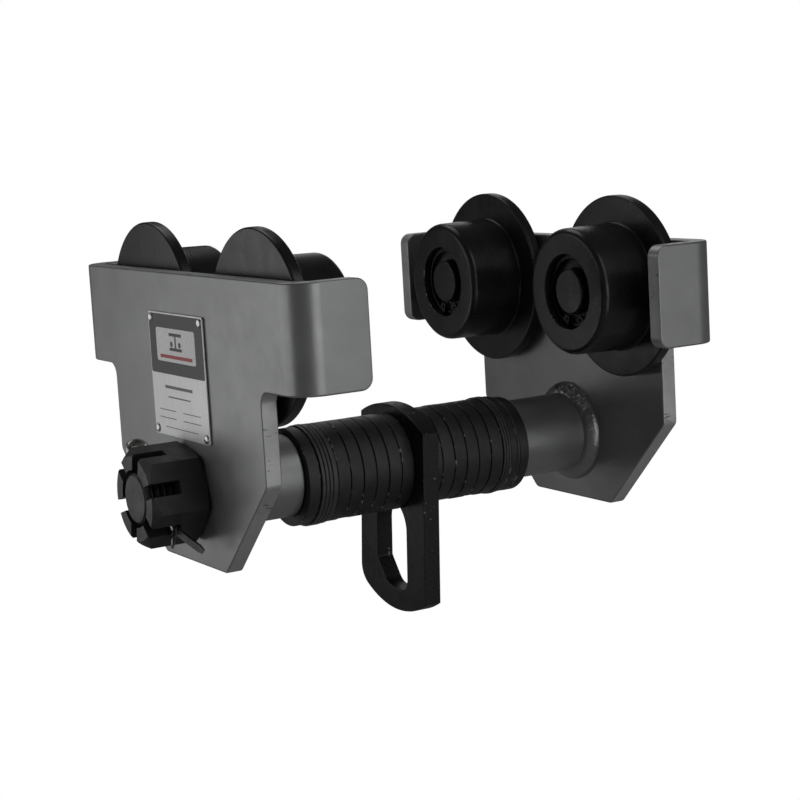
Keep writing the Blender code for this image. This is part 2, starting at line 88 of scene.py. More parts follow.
# the slotted nuts and their split pins
NUT_ACROSS_FLATS = 46.0 * MM
NUT_SLOT_WIDTH = 7.0 * MM
NUT_SLOT_FLOOR = 14.7 * MM
NUT_TIP_RADIUS = 22.0 * MM
NUT_TURN = math.radians(42.3)  # direction of the pinned slot, from +Y towards +Z
PIN_HOLE_RADIUS = 2.7 * MM
PIN_HEIGHT = 17.6 * MM        # pin axis above the plate face
PIN_RADIUS = 2.4 * MM
EYE_CENTRE = 31.3 * MM
EYE_INNER = 4.4 * MM
EYE_WRAP = 148                # degrees from the tip of the eye to each neck
EYE_STEPS = 30

# the suspension lug, from the bar's axis
LUG_THICK = 9.9 * MM
LUG_HALF = 34.5 * MM
LUG_BORE = 15.6 * MM
LUG_SWING = math.radians(4.2)
LUG_TOP = 30.1 * MM
LUG_SHOULDER = 19.6 * MM
LUG_BACK_SHOULDER = 31.2 * MM
LUG_BOTTOM = 85.2 * MM
LUG_BOTTOM_RADIUS = 60.6 * MM
LUG_BOTTOM_SHIFT = 1.2 * MM
LUG_BLEND = 12.4 * MM
SLOT_RADIUS = 15.5 * MM
SLOT_UPPER = 38.3 * MM
SLOT_LOWER = 57.0 * MM

# the wheels, their bearings, snap rings and axles
RECESS_RADIUS = 20.0 * MM
RECESS_DEPTH = 5.4 * MM
TREAD_END_RADIUS = 33.9 * MM
TREAD_FLANGE_RADIUS = 34.4 * MM
FLANGE_THICK = 6.6 * MM
WEB_BORE = 13.0 * MM
BEARING_WIDTH = 12.0 * MM
SHIELD_SINK = 1.2 * MM
OUTER_RING_BORE = 12.5 * MM
INNER_RING_RADIUS = 12.0 * MM
INNER_RING_BORE = 8.8 * MM
AXLE_HEAD_RADIUS = 12.0 * MM
AXLE_COLLAR_RADIUS = 10.6 * MM
AXLE_SHANK_RADIUS = 8.5 * MM
AXLE_SEAT_RADIUS = 10.0 * MM
CLIP_THICK = 1.6 * MM
CLIP_BAND = 2.4 * MM
CLIP_EAR_DEPTH = 5.8 * MM
CLIP_EAR = 13.0               # degrees that each ear takes up
CLIP_GAP = 15.0               # degrees from the lowest point to each end
CLIP_HOLE_RADIUS = 0.85 * MM


# ---------------------------------------------------------------- shapes

def rounded(corners, steps=6):
    """Corners of (a, b, radius), each replaced by a tangent arc."""
    out = []
    count = len(corners)
    for i, (a, b, radius) in enumerate(corners):
        here = Vector((a, b))
        if radius <= 0:
            out.append(here)
            continue
        before = (Vector(corners[i - 1][:2]) - here).normalized()
        after = (Vector(corners[(i + 1) % count][:2]) - here).normalized()
        half = math.acos(max(-1.0, min(1.0, before.dot(after)))) / 2
        reach = radius / math.tan(half)
        centre = here + (before + after).normalized() * radius / math.sin(half)
        start = here + before * reach - centre
        end = here + after * reach - centre
        turn = math.atan2(start.x * end.y - start.y * end.x, start.dot(end))
        for k in range(steps + 1):
            c, s = math.cos(turn * k / steps), math.sin(turn * k / steps)
            out.append(centre + Vector((start.x * c - start.y * s, start.x * s + start.y * c)))
    return [(p.x, p.y) for p in out]


def arc(centre, radius, start, end, steps):
    """Points on an arc between two angles in degrees."""
    angles = [math.radians(start + (end - start) * k / steps) for k in range(steps + 1)]
    return [(centre[0] + radius * math.cos(a), centre[1] + radius * math.sin(a)) for a in angles]


def turned(profile, segments, closed=True):
    """Profile of (x, radius) points turned about the X axis."""
    bm = bmesh.new()
    verts = [bm.verts.new((x, 0.0, r)) for x, r in profile]
    pairs = list(zip(verts, verts[1:]))
    if closed:
        pairs.append((verts[-1], verts[0]))
    edges = [bm.edges.new(pair) for pair in pairs]
    bmesh.ops.spin(bm, geom=verts + edges, cent=(0, 0, 0), axis=(1, 0, 0),
                   angle=2 * math.pi, steps=segments, use_merge=True)
    bmesh.ops.remove_doubles(bm, verts=bm.verts, dist=1e-6)
    return bm


def slab(loops, thickness, edge, bevel_steps=2):
    """Outline and holes of (y, z) points as a slab from x=0 to x=thickness, edges rounded."""
    curve = bpy.data.curves.new("outline", "CURVE")
    curve.dimensions = "2D"
    curve.fill_mode = "BOTH"
    curve.extrude = thickness / 2 - edge
    curve.bevel_depth = edge
    curve.offset = -edge
    curve.bevel_resolution = bevel_steps
    for points in loops:
        spline = curve.splines.new("POLY")
        spline.points.add(len(points) - 1)
        for point, (a, b) in zip(spline.points, points):
            point.co = (a, b, 0.0, 1.0)
        spline.use_cyclic_u = True
    holder = bpy.data.objects.new("outline", curve)
    bpy.context.scene.collection.objects.link(holder)
    mesh = bpy.data.meshes.new_from_object(holder.evaluated_get(bpy.context.evaluated_depsgraph_get()))
    bm = bmesh.new()
    bm.from_mesh(mesh)
    bpy.data.objects.remove(holder)
    bpy.data.curves.remove(curve)
    bpy.data.meshes.remove(mesh)
    bmesh.ops.remove_doubles(bm, verts=bm.verts, dist=1e-6)
    for v in bm.verts:
        v.co = Vector((v.co.z + thickness / 2, v.co.x, v.co.y))
    return bm


def carved(bm, cutters, operation="DIFFERENCE"):
    """The bmesh after an exact Boolean with each cutter."""
    def temporary(source):
        mesh = bpy.data.meshes.new("carving")
        bmesh.ops.recalc_face_normals(source, faces=source.faces)
        source.to_mesh(mesh)
        source.free()
        item = bpy.data.objects.new("carving", mesh)
        bpy.context.scene.collection.objects.link(item)
        return item
    body = temporary(bm)
    tools = [temporary(cutter) for cutter in cutters]
    for tool in tools:
        modifier = body.modifiers.new("carve", "BOOLEAN")
        modifier.operation = operation
        modifier.solver = "EXACT"
        modifier.object = tool
    result = bmesh.new()
    graph = bpy.context.evaluated_depsgraph_get()
    result.from_mesh(body.evaluated_get(graph).to_mesh())
    for item in [body] + tools:
        bpy.data.objects.remove(item)
    return result


def soften(bm, width, segments=2, angle=30):
    """Rounds every edge sharper than the angle."""
    bm.normal_update()
    sharp = [e for e in bm.edges if len(e.link_faces) == 2 and e.calc_face_angle(0) > math.radians(angle)]
    bmesh.ops.bevel(bm, geom=sharp, offset=width, offset_type="OFFSET", segments=segments,
                    profile=0.5, affect="EDGES", material=-1, clamp_overlap=True)


def outward(bm, side):
    """Turns a shape drawn for the right side to the side asked for."""
    if side == LEFT:
        bmesh.ops.scale(bm, verts=bm.verts, vec=(-1, 1, 1))
    return bm


def piece(name, bm, body, finishes, stands_for=(), place=None, crease=38):
    """Makes the finished object, riding on its body."""
    if place is not None:
        bmesh.ops.transform(bm, matrix=place, verts=bm.verts)
    bmesh.ops.recalc_face_normals(bm, faces=bm.faces)
    mesh = bpy.data.meshes.new(name)
    bm.to_mesh(mesh)
    bm.free()
    mesh.shade_smooth()
    mesh.set_sharp_from_angle(angle=math.radians(crease))
    for finish in finishes:
        mesh.materials.append(finish)
    item = bpy.data.objects.new(name, mesh)
    bpy.context.scene.collection.objects.link(item)
    weighted = item.modifiers.new("even_normals", "WEIGHTED_NORMAL")
    weighted.keep_sharp = True
    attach(item, body)
    if stands_for:
        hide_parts(*stands_for)
    return item


def paint_faces(bm, index, wanted):
    """Gives a second finish to the faces that the test picks."""
    bm.normal_update()
    for face in bm.faces:
        if wanted(face):
            face.material_index = index


# ---------------------------------------------------------------- finishes

class Finish:
    """A Principled material with its procedural detail on Object coordinates."""

    def __init__(self, name, colour, roughness, metallic=0.0, coat=0.0, specular=0.5):
        self.material = bpy.data.materials.new(name)
        self.material.use_nodes = True
        self.nodes = self.material.node_tree.nodes
        self.links = self.material.node_tree.links
        self.shader = self.nodes["Principled BSDF"]
        self.set("Base Color", (*colour, 1.0))
        self.set("Roughness", roughness)
        self.set("Metallic", metallic)
        self.set("Coat Weight", coat)
        self.set("Specular IOR Level", specular)
        self.place = self.nodes.new("ShaderNodeTexCoord").outputs["Object"]
        self.last_bump = None

    def set(self, socket, value):
        self.shader.inputs[socket].default_value = value

    def stretched(self, scale, offset=(0, 0, 0)):
        mapping = self.nodes.new("ShaderNodeMapping")
        mapping.inputs["Scale"].default_value = scale
        mapping.inputs["Location"].default_value = offset
        self.links.new(self.place, mapping.inputs["Vector"])
        return mapping.outputs["Vector"]

    def noise(self, scale, detail=3.0, roughness=0.5, distortion=0.0, where=None):
        node = self.nodes.new("ShaderNodeTexNoise")
        node.inputs["Scale"].default_value = scale
        node.inputs["Detail"].default_value = detail
        node.inputs["Roughness"].default_value = roughness
        node.inputs["Distortion"].default_value = distortion
        self.links.new(where or self.place, node.inputs["Vector"])
        return node.outputs["Fac"]

    def range(self, value, low, high, to_low=0.0, to_high=1.0):
        node = self.nodes.new("ShaderNodeMapRange")
        node.inputs["From Min"].default_value = low
        node.inputs["From Max"].default_value = high
        node.inputs["To Min"].default_value = to_low
        node.inputs["To Max"].default_value = to_high
        self.links.new(value, node.inputs["Value"])
        return node.outputs["Result"]

    def maths(self, operation, a, b):
        node = self.nodes.new("ShaderNodeMath")
        node.operation = operation
        for socket, value in zip(node.inputs, (a, b)):
            if isinstance(value, (int, float)):
                socket.default_value = value
            else:
                self.links.new(value, socket)
        return node.outputs[0]

    def mixed(self, factor, first, second):
        node = self.nodes.new("ShaderNodeMix")
        node.data_type = "RGBA"
        self.links.new(factor, node.inputs[0])
        for socket, colour in ((node.inputs[6], first), (node.inputs[7], second)):
            if isinstance(colour, tuple):
                socket.default_value = (*colour, 1.0)
            else:
                self.links.new(colour, socket)
        return node.outputs[2]

    def colour(self, source):
        self.links.new(source, self.shader.inputs["Base Color"])

    def roughness(self, source):
        self.links.new(source, self.shader.inputs["Roughness"])

    def bump(self, height, strength, distance):
        node = self.nodes.new("ShaderNodeBump")
        node.inputs["Strength"].default_value = strength
        node.inputs["Distance"].default_value = distance
        self.links.new(height, node.inputs["Height"])
        if self.last_bump:
            self.links.new(self.last_bump, node.inputs["Normal"])
        self.last_bump = node.outputs["Normal"]
        self.links.new(self.last_bump, self.shader.inputs["Normal"])


GREY = (0.285, 0.293, 0.288)
GREY_DARK = (0.240, 0.247, 0.243)
BLACK = (0.0105, 0.0112, 0.0110)


def grey_paint():
    """Satin grey enamel with faint mottling and orange peel."""
    f = Finish("grey_enamel", GREY, 0.35, metallic=0.65, coat=0.1)
    f.set("Coat Roughness", 0.28)
    cloud = f.range(f.noise(30, 5, 0.6), 0.3, 0.7)
    f.colour(f.mixed(cloud, GREY_DARK, GREY))
    f.roughness(f.range(f.noise(90, 5, 0.6), 0.3, 0.7, 0.31, 0.42))
    f.bump(f.noise(1000, 2, 0.5), 0.16, 0.0003)
    f.bump(f.noise(60, 2, 0.5), 0.12, 0.0006)
    return f.material


def cut_edge_paint():
    """The same enamel over a sawn edge: drag lines, pits and rubbed high spots."""
    f = Finish("grey_cut_edge", GREY, 0.42, metallic=0.5, coat=0.1)
    f.set("Coat Roughness", 0.3)
    drag = f.noise(1.0, 3, 0.6, where=f.stretched((180, 180, 900)))
    nicks = f.range(f.maths("MULTIPLY", drag, f.noise(34, 3, 0.6)), 0.34, 0.40)
    shade = f.mixed(f.range(f.noise(55, 4, 0.6), 0.3, 0.7), (0.36, 0.369, 0.362), (0.46, 0.469, 0.462))
    f.colour(f.mixed(nicks, shade, (0.10, 0.104, 0.102)))
    f.roughness(f.range(f.noise(240, 5, 0.65), 0.3, 0.7, 0.34, 0.5))
    f.bump(drag, 0.12, 0.0004)
    f.bump(f.noise(260, 4, 0.6), 0.12, 0.0003)
    return f.material


def weld_paint():
    """Enamel over the weld, glossier on its ridges."""
    f = Finish("grey_weld", GREY, 0.28, metallic=0.6, coat=0.2)
    f.set("Coat Roughness", 0.2)
    f.colour(f.mixed(f.range(f.noise(160, 5, 0.6), 0.35, 0.65), GREY_DARK, (0.26, 0.268, 0.262)))
    f.bump(f.noise(420, 4, 0.6), 0.35, 0.0006)
    return f.material


def black_paint():
    """Black enamel on the wheels, slightly uneven in gloss."""
    f = Finish("black_enamel", BLACK, 0.34, coat=0.03, specular=0.38)
    f.set("Coat Roughness", 0.2)
    cloud = f.range(f.noise(35, 4, 0.55), 0.3, 0.7)
    f.colour(f.mixed(cloud, (0.0085, 0.0091, 0.009), (0.0145, 0.0152, 0.015)))
    f.roughness(f.range(f.noise(80, 5, 0.6), 0.3, 0.7, 0.23, 0.37))
    f.bump(f.noise(700, 2, 0.5), 0.08, 0.0003)
    f.bump(f.noise(55, 2, 0.5), 0.12, 0.0006)
    return f.material


def lug_paint():
    """Deep black enamel brushed on the lug, in glossy and dull patches."""
    f = Finish("lug_black", BLACK, 0.3, specular=0.28)
    patch = f.range(f.noise(38, 4, 0.6, 0.5), 0.35, 0.65)
    f.colour(f.mixed(patch, (0.0075, 0.0081, 0.008), (0.0125, 0.0131, 0.013)))
    f.roughness(f.range(f.noise(48, 5, 0.65, 0.4), 0.35, 0.65, 0.2, 0.46))
    f.bump(f.noise(90, 3, 0.55), 0.2, 0.0006)
    f.bump(f.noise(800, 2, 0.5), 0.08, 0.0002)
    return f.material


def chipped_black(name, least):
    """Black enamel with chips down to bright steel, for rims and cut edges; least sets how few."""
    f = Finish(name, BLACK, 0.38, specular=0.3)
    chips = f.range(f.maths("MULTIPLY", f.noise(620, 4, 0.62), f.noise(60, 3, 0.6)), least, least + 0.025)
    f.colour(f.mixed(chips, (0.0085, 0.0091, 0.009), (0.26, 0.26, 0.25)))
    f.roughness(f.range(f.noise(300, 4, 0.6), 0.3, 0.7, 0.32, 0.52))
    f.bump(f.noise(1.0, 3, 0.6, where=f.stretched((60, 60, 700))), 0.25, 0.0005)
    f.bump(f.noise(260, 4, 0.6), 0.3, 0.0004)
    return f.material


def black_oxide(name="black_oxide", light=1.0):
    """Dark chemical finish on turned and forged steel."""
    f = Finish(name, BLACK, 0.45, metallic=0.35, specular=0.45)
    low = tuple(c * light for c in (0.019, 0.0198, 0.0195))
    high = tuple(c * light for c in (0.034, 0.0348, 0.0342))
    f.colour(f.mixed(f.range(f.noise(90, 5, 0.6), 0.3, 0.7), low, high))
    f.roughness(f.range(f.noise(150, 5, 0.6), 0.3, 0.7, 0.36, 0.54))
    f.bump(f.noise(650, 3, 0.6), 0.12, 0.0003)
    return f.material


def worn_rim_and_painted_glint():
    """Washer and nut rims: oxide worn to steel in broken streaks, which also serve as painted highlights
    along the edges.
    """
    f = Finish("worn_rim_and_painted_glint", BLACK, 0.42, metallic=0.5)
    # bright streaks: partly worn steel, partly painted highlight on the rim
    streak = f.range(f.maths("MULTIPLY", f.noise(46, 3, 0.6, 0.6), f.noise(300, 3, 0.6)), 0.31, 0.37)
    f.colour(f.mixed(streak, (0.020, 0.0206, 0.020), (0.28, 0.28, 0.275)))
    f.roughness(f.range(f.noise(300, 3, 0.5), 0.3, 0.7, 0.3, 0.5))
    return f.material


def dark_steel(name, colour, roughness):
    """Bare or oiled steel with fine drawn streaks."""
    f = Finish(name, colour, roughness, metallic=1.0)
    dim = tuple(c * 0.62 for c in colour)
    f.colour(f.mixed(f.range(f.noise(260, 4, 0.6), 0.3, 0.7), dim, colour))
    f.roughness(f.range(f.noise(500, 3, 0.5), 0.3, 0.7, roughness - 0.07, roughness + 0.1))
    f.bump(f.noise(900, 2, 0.5), 0.08, 0.0002)
    return f.material


def brushed_aluminium():
    """Satin nameplate metal with a fine upright brush."""
    f = Finish("brushed_nameplate", (0.72, 0.73, 0.72), 0.34, metallic=0.45)
    brush = f.noise(1.0, 3, 0.6, where=f.stretched((900, 2600, 60)))
    f.colour(f.mixed(f.range(brush, 0.3, 0.7), (0.66, 0.67, 0.66), (0.80, 0.81, 0.80)))
    f.roughness(f.range(f.noise(40, 4, 0.6), 0.3, 0.7, 0.28, 0.42))
    f.bump(brush, 0.06, 0.0002)
    return f.material


def printed(name, colour, roughness=0.45):
    """Screen-printed ink with a faint grain."""
    f = Finish(name, colour, roughness)
    dim = tuple(c * 0.86 for c in colour)
    f.colour(f.mixed(f.range(f.noise(500, 3, 0.5), 0.3, 0.7), dim, colour))
    f.bump(f.noise(1200, 2, 0.5), 0.05, 0.0001)
    return f.material


# ---------------------------------------------------------------- side plates

def plate_outline():
    """Outline of the flat sheet before it is bent, and the sheet's length in one bend."""
    bend_length = (BEND_RADIUS - PLATE_THICK / 2) * math.pi / 2
    end = BAND_HALF - BEND_RADIUS + bend_length + WING_LENGTH
    half = [(end, BAND_TOP, WING_CORNER), (end, BAND_BOTTOM, WING_CORNER),
            (TRUNK_HALF, BAND_BOTTOM, TRUNK_FILLET), (TRUNK_HALF, CHAMFER_Z, TRUNK_CORNER),
            (FOOT_HALF, FOOT_Z, FOOT_CORNER)]
    return rounded(half + [(-a, b, r) for a, b, r in reversed(half)]), bend_length


def bend_point(point, bend_length):
    """Flat sheet coordinates (depth, along, height) folded into the two wings."""
    start = BAND_HALF - BEND_RADIUS
    sign = math.copysign(1.0, point.y)
    reach = abs(point.y)
    depth = point.x
    if reach <= start:
        return Vector((PLATE_OUTER - depth, point.y, point.z))
    if reach < start + bend_length:
        angle = (reach - start) / bend_length * math.pi / 2
        radius = BEND_RADIUS - depth
        return Vector((PLATE_OUTER - BEND_RADIUS + radius * math.cos(angle),
                       sign * (start + radius * math.sin(angle)), point.z))
    past = reach - start - bend_length
    return Vector((PLATE_OUTER - BEND_RADIUS - past, sign * (BAND_HALF - depth), point.z))


def side_plate(word, side, body, paint, cut_edge):
    outline, bend_length = plate_outline()
    bar_hole = arc((0, BAR_Z), TUBE_BORE, 0, 354, 59)
    bm = slab([outline, bar_hole], PLATE_THICK, PLATE_EDGE)
    start = BAND_HALF - BEND_RADIUS
    for sign in (-1, 1):
        for k in range(BEND_STEPS + 1):
            station = sign * (start + bend_length * k / BEND_STEPS)
            bmesh.ops.bisect_plane(bm, geom=bm.verts[:] + bm.edges[:] + bm.faces[:], dist=1e-6,
                                   plane_co=(0, station, 0), plane_no=(0, 1, 0))
    paint_faces(bm, 1, lambda face: abs(face.normal.x) < 0.3)
    for v in bm.verts:
        v.co = bend_point(v.co, bend_length)
    return piece("side_plate_" + word + "_shell", outward(bm, side), body, (paint, cut_edge),
                 ("side_plate_" + word,))


def boss_tube(word, side, body, paint):
    low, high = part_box("boss_tube_right")
    profile = rounded([(low.x, TUBE_BORE, 0.5 * MM), (low.x, TUBE_RADIUS, 1.0 * MM),
                       (high.x, TUBE_RADIUS, 0.2 * MM), (high.x, TUBE_BORE, 0.2 * MM)], 4)
    bm = outward(turned(profile, 96), side)
    piece("boss_tube_" + word + "_skin", bm, body, (paint,), ("boss_tube_" + word,),
          Matrix.Translation((0, 0, BAR_Z)))


def weld_bead(word, side, body, paint):
    """Fillet run laid as overlapping ripples round the tube, with a rough stop at the top."""
    steps = 288
    foot = PLATE_INNER - 0.1 * MM
    root = TUBE_RADIUS - 0.2 * MM
    bm = turned([(foot, root)] + [(foot - WELD_LEG * math.sin(math.radians(a)) ** 1.15,
                                   root + WELD_LEG * math.cos(math.radians(a)) ** 1.15)
                                  for a in range(0, 91, 10)], steps)
    for v in bm.verts:
        radius = math.hypot(v.co.y, v.co.z)
        rise = min(radius - root, foot - v.co.x) / (0.42 * WELD_LEG)
        if rise <= 0.02:
            continue
        angle = math.degrees(math.atan2(v.co.z, v.co.y)) % 360
        ripple = (angle / WELD_RIPPLE + 0.25 * math.sin(angle * 0.21)) % 1.0
        lumps = noise.noise(Vector((v.co.y, v.co.z, side * 0.01)) * 190)
        rough = math.exp(-((angle - WELD_STOP) / WELD_STOP_SPREAD) ** 2)
        coarse = noise.noise(Vector((v.co.y * 1.3, v.co.z * 1.3, v.co.x * 2)) * 300)
        fold = 0.5 - abs(noise.noise(Vector((v.co.y, v.co.z, v.co.x)) * 260)) * 3.0
        swell = (0.30 * (ripple - 0.5) * (0.3 + rough) + 0.35 * lumps
                 + rough * (2.2 * coarse - 1.2 * max(0.0, fold))) * MM
        away = Vector((-1.0, v.co.y / radius, v.co.z / radius)).normalized()
        v.co += away * swell * min(1.0, rise)
    piece("weld_bead_" + word + "_run", outward(bm, side), body, (paint,), ("weld_bead_" + word,),
          Matrix.Translation((0, 0, BAR_Z)), 60)


# ---------------------------------------------------------------- bar, nuts and pins

def thread_ridge(start, end):
    """One continuous 60 degree ridge wound from start to end along X."""
    turns = (end - start) / THREAD_PITCH
    per_turn = 48
    steps = int(turns * per_turn)
    bm = bmesh.new()
    flat = THREAD_PITCH * 0.08
    wide = THREAD_PITCH * 0.43
    corners = [(start - wide, THREAD_ROOT - 0.2 * MM), (start - flat, THREAD_CREST),
               (start + flat, THREAD_CREST), (start + wide, THREAD_ROOT - 0.2 * MM)]
    verts = [bm.verts.new((x, 0.0, r)) for x, r in corners]
    edges = [bm.edges.new((verts[k], verts[(k + 1) % 4])) for k in range(4)]
    bm.faces.new(verts)
    made = bmesh.ops.spin(bm, geom=verts + edges, cent=(0, 0, 0), axis=(1, 0, 0),
                          dvec=(THREAD_PITCH / per_turn, 0, 0), angle=2 * math.pi * steps / per_turn,
                          steps=steps, use_merge=False)
    last = [g for g in made["geom_last"] if isinstance(g, bmesh.types.BMVert)]
    bmesh.ops.contextual_create(bm, geom=last)
    return bm


def load_bar(body, oxide, worn):
    """Plain bar with a wound thread on each end, chamfered and drilled for the split pins."""
    chamfer = BAR_END - 2.6 * MM
    end_radius = 12.1 * MM
    half = [(BAR_THREAD_START - 2 * MM, BAR_RADIUS), (BAR_THREAD_START, THREAD_ROOT),
            (chamfer + 1.6 * MM, THREAD_ROOT), (BAR_END - 0.3 * MM, end_radius + 0.2 * MM),
            (BAR_END, end_radius - 0.1 * MM), (BAR_END, 0.0)]
    bm = turned([(-x, r) for x, r in reversed(half)] + half, 72, closed=False)
    holes = []
    for side in (LEFT, RIGHT):
        reach = 30.0 * MM
        hole = turned([(-reach, 0), (-reach, PIN_HOLE_RADIUS), (reach, PIN_HOLE_RADIUS), (reach, 0)],
                      24, closed=False)
        place = Matrix.Translation((side * (PLATE_OUTER + PIN_HEIGHT), 0, 0))
        place = place @ Matrix.Rotation(NUT_TURN, 4, "X") @ Matrix.Rotation(math.pi / 2, 4, "Z")
        bmesh.ops.transform(hole, matrix=place, verts=hole.verts)
        holes.append(hole)
    bm = carved(bm, holes)
    piece("load_bar_core", bm, body, (oxide,), ("load_bar",),
          Matrix.Translation((0, 0, BAR_Z)))
    for word, side in SIDES.items():
        ridge = outward(thread_ridge(BAR_THREAD_START, BAR_END - 1.9 * MM), side)
        for v in ridge.verts:
            reach = abs(v.co.x)
            radius = math.hypot(v.co.y, v.co.z)
            limit = THREAD_CREST - max(0.0, reach - chamfer) * 1.0
            if radius > limit:
                v.co.y *= limit / radius
                v.co.z *= limit / radius
        piece("bar_thread_" + word, ridge, body, (worn,), (),
              Matrix.Translation((0, 0, BAR_Z)), 60)


def slotted_nut(word, side, body, oxide, rim):
    """Hexagon rounded at both ends, with three slots through its crown."""
    low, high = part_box("slotted_nut_right")
    base = low.x
    length = high.x - low.x
    corner = NUT_ACROSS_FLATS / math.sqrt(3)
    hexagon = [(corner * math.cos(NUT_TURN + math.radians(30 + 60 * k)),
                corner * math.sin(NUT_TURN + math.radians(30 + 60 * k))) for k in range(6)]
    bm = bmesh.new()
    face = bm.faces.new([bm.verts.new((0.0, y, z)) for y, z in hexagon])
    grown = bmesh.ops.extrude_face_region(bm, geom=[face])
    moved = [v for v in grown["geom"] if isinstance(v, bmesh.types.BMVert)]
    bmesh.ops.translate(bm, verts=moved, vec=(length, 0, 0))
    inner = THREAD_CREST + 0.15 * MM
    round_profile = [(0.0, inner), (0.0, NUT_TIP_RADIUS + 0.6 * MM), (2.2 * MM, corner + 0.6 * MM),
                     (length - 4.0 * MM, corner + 0.2 * MM), (length, NUT_TIP_RADIUS), (length, inner)]
    bm = carved(bm, [turned(round_profile, 64)], "INTERSECT")
    slots = []
    for k in range(3):
        slot = bmesh.new()
        bmesh.ops.create_cube(slot, size=1.0)
        far = length + 4 * MM
        bmesh.ops.scale(slot, verts=slot.verts, vec=(far - NUT_SLOT_FLOOR, 0.08, NUT_SLOT_WIDTH))
        bmesh.ops.translate(slot, verts=slot.verts, vec=((far + NUT_SLOT_FLOOR) / 2, 0, 0))
        bmesh.ops.rotate(slot, verts=slot.verts, matrix=Matrix.Rotation(NUT_TURN + k * math.pi / 3, 3, "X"))
        slots.append(slot)
    bm = carved(bm, slots)
    bmesh.ops.dissolve_limit(bm, angle_limit=math.radians(1), verts=bm.verts, edges=bm.edges)
    before = set(bm.faces)
    soften(bm, 0.35 * MM, 2, 28)
    # the new rounded faces take the rim finish: worn steel with painted highlights
    for face in bm.faces:
        if face not in before and face.calc_area() < 2e-6:
            face.material_index = 1
    bm = outward(bm, side)
    piece("slotted_nut_" + word + "_forging", bm, body, (oxide, rim), ("slotted_nut_" + word,),
          Matrix.Translation((side * base, 0, BAR_Z)), 30)


def split_pin(word, side, body, wire):
    """Half-round wire folded on itself: leg, shank, eye, shank, leg."""
    near = 0.06 * MM
    towards_plate = [(-39.5, -8.6), (-37.0, -7.2), (-34.5, -5.7), (-32.0, -4.2), (-29.5, -2.8),
                     (-27.5, -1.7), (-26.0, -0.9), (-24.8, -0.4), (-23.8, -0.15)]
    away = [(-23.8, 0.15), (-24.8, 0.4), (-26.4, 1.0), (-28.4, 1.9), (-30.8, 3.2), (-33.4, 4.7)]
    path = [(u * MM, v * MM) for u, v in towards_plate]
    path += [(-22.0 * MM, -near), (0.0, -near), (24.6 * MM, -near), (25.6 * MM, -0.35 * MM)]
    path += arc((EYE_CENTRE, 0.0), EYE_INNER, -EYE_WRAP, EYE_WRAP, EYE_STEPS)
    path += [(25.6 * MM, 0.35 * MM), (24.6 * MM, near), (0.0, near), (-22.0 * MM, near)]
    path += [(u * MM, v * MM) for u, v in away]
    bm = bmesh.new()
    rings = []
    count = len(path)
    for i, (u, v) in enumerate(path):
        ahead = Vector(path[min(i + 1, count - 1)]) - Vector(path[max(i - 1, 0)])
        ahead.normalize()
        normal = Vector((ahead.y, -ahead.x))
        taper = 0.72 if i in (0, count - 1) else 1.0
        section = [(-PIN_RADIUS * math.cos(math.radians(a)) * taper,
                    PIN_RADIUS * math.sin(math.radians(a)) * taper) for a in range(0, 181, 15)]
        rings.append([bm.verts.new((v + normal.y * n, u + normal.x * n, w)) for w, n in section])
    for one, two in zip(rings, rings[1:]):
        edges = [bm.edges.get((a, b)) or bm.edges.new((a, b))
                 for ring in (one, two) for a, b in zip(ring, ring[1:] + ring[:1])]
        bmesh.ops.bridge_loops(bm, edges=edges)
    bm.faces.new(rings[0])
    bm.faces.new(rings[-1])
    place = Matrix.Translation((side * (PLATE_OUTER + PIN_HEIGHT), 0, BAR_Z))
    place = place @ Matrix.Rotation(NUT_TURN, 4, "X")
    piece("split_pin_" + word + "_wire", outward(bm, side), body, (wire,), ("split_pin_" + word,),
          place, 50)


# ---------------------------------------------------------------- lug and washers

def lug_outline():
    """Broad curved head, straight sides and a round bottom, as (y, z) points from the bar's axis."""
    drop = (LUG_TOP ** 2 - LUG_HALF ** 2 - LUG_SHOULDER ** 2) / (2 * (LUG_TOP - LUG_SHOULDER))
    top_radius = LUG_TOP - drop
    spread = math.degrees(math.asin(LUG_HALF / top_radius))
    back_spread = math.degrees(math.asin(LUG_BACK_SHOULDER / top_radius))
    points = arc((0, drop), top_radius, 90 - spread, 90 + back_spread, 40)
    centre = (LUG_BOTTOM_SHIFT, -(LUG_BOTTOM - LUG_BOTTOM_RADIUS))
    hub_y = -(LUG_HALF - LUG_BLEND)
    hub_z = centre[1] - math.sqrt((LUG_BOTTOM_RADIUS - LUG_BLEND) ** 2 - (hub_y - centre[0]) ** 2)
    meet = math.degrees(math.atan2(hub_z - centre[1], hub_y - centre[0])) + 360
    points += arc((hub_y, hub_z), LUG_BLEND, 180, meet, 14)
    last = math.degrees(math.acos((LUG_HALF - centre[0]) / LUG_BOTTOM_RADIUS))
    points += arc(centre, LUG_BOTTOM_RADIUS, meet, 360 - last, 30)[1:]
    return [(-y, z) for y, z in points]


